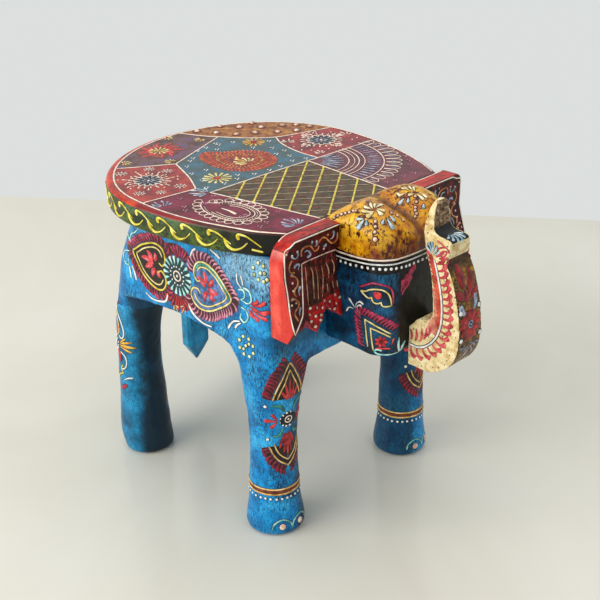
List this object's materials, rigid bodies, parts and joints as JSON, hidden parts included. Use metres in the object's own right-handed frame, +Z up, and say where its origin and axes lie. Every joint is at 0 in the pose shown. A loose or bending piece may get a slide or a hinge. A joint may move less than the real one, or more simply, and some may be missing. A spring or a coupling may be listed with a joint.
{
  "type": "carved elephant stool",
  "caption": "Low painted wooden stool carved as an elephant: oval seat board, arched body on round legs, domed head with slab ears, J-shaped raised trunk and a bar tail.",
  "frame": {"origin": "on the floor, under the middle of the stool's length and width", "axes": "+Z up out of the seat, +Y towards the tail, -Y the way the elephant faces, +X the elephant's left"},
  "size_m": [0.23, 0.3228, 0.2717],
  "materials": {
    "seat_paint": "satin lacquered paint in patches",
    "body_paint": "satin blue paint, crackled and rubbed",
    "head_paint": "satin gold and blue paint, rubbed",
    "trunk_paint": "satin cream, tan and coral paint, rubbed",
    "ear_paint": "glossy coral red and maroon paint",
    "dowel_wood": "bare turned wood"
  },
  "bodies": {
    "root": {"seat_top": "seat_paint", "body_block": "body_paint", "leg_front_right": "body_paint", "leg_front_left": "body_paint", "leg_rear_right": "body_paint", "leg_rear_left": "body_paint", "head": "head_paint", "trunk": "trunk_paint", "ear_right": "ear_paint", "ear_left": "ear_paint", "tail": "body_paint", "seat_dowels": "dowel_wood", "head_dowels": "dowel_wood", "trunk_dowels": "dowel_wood", "ear_dowels": "dowel_wood", "tail_dowels": "dowel_wood"}
  },
  "joints": []
}
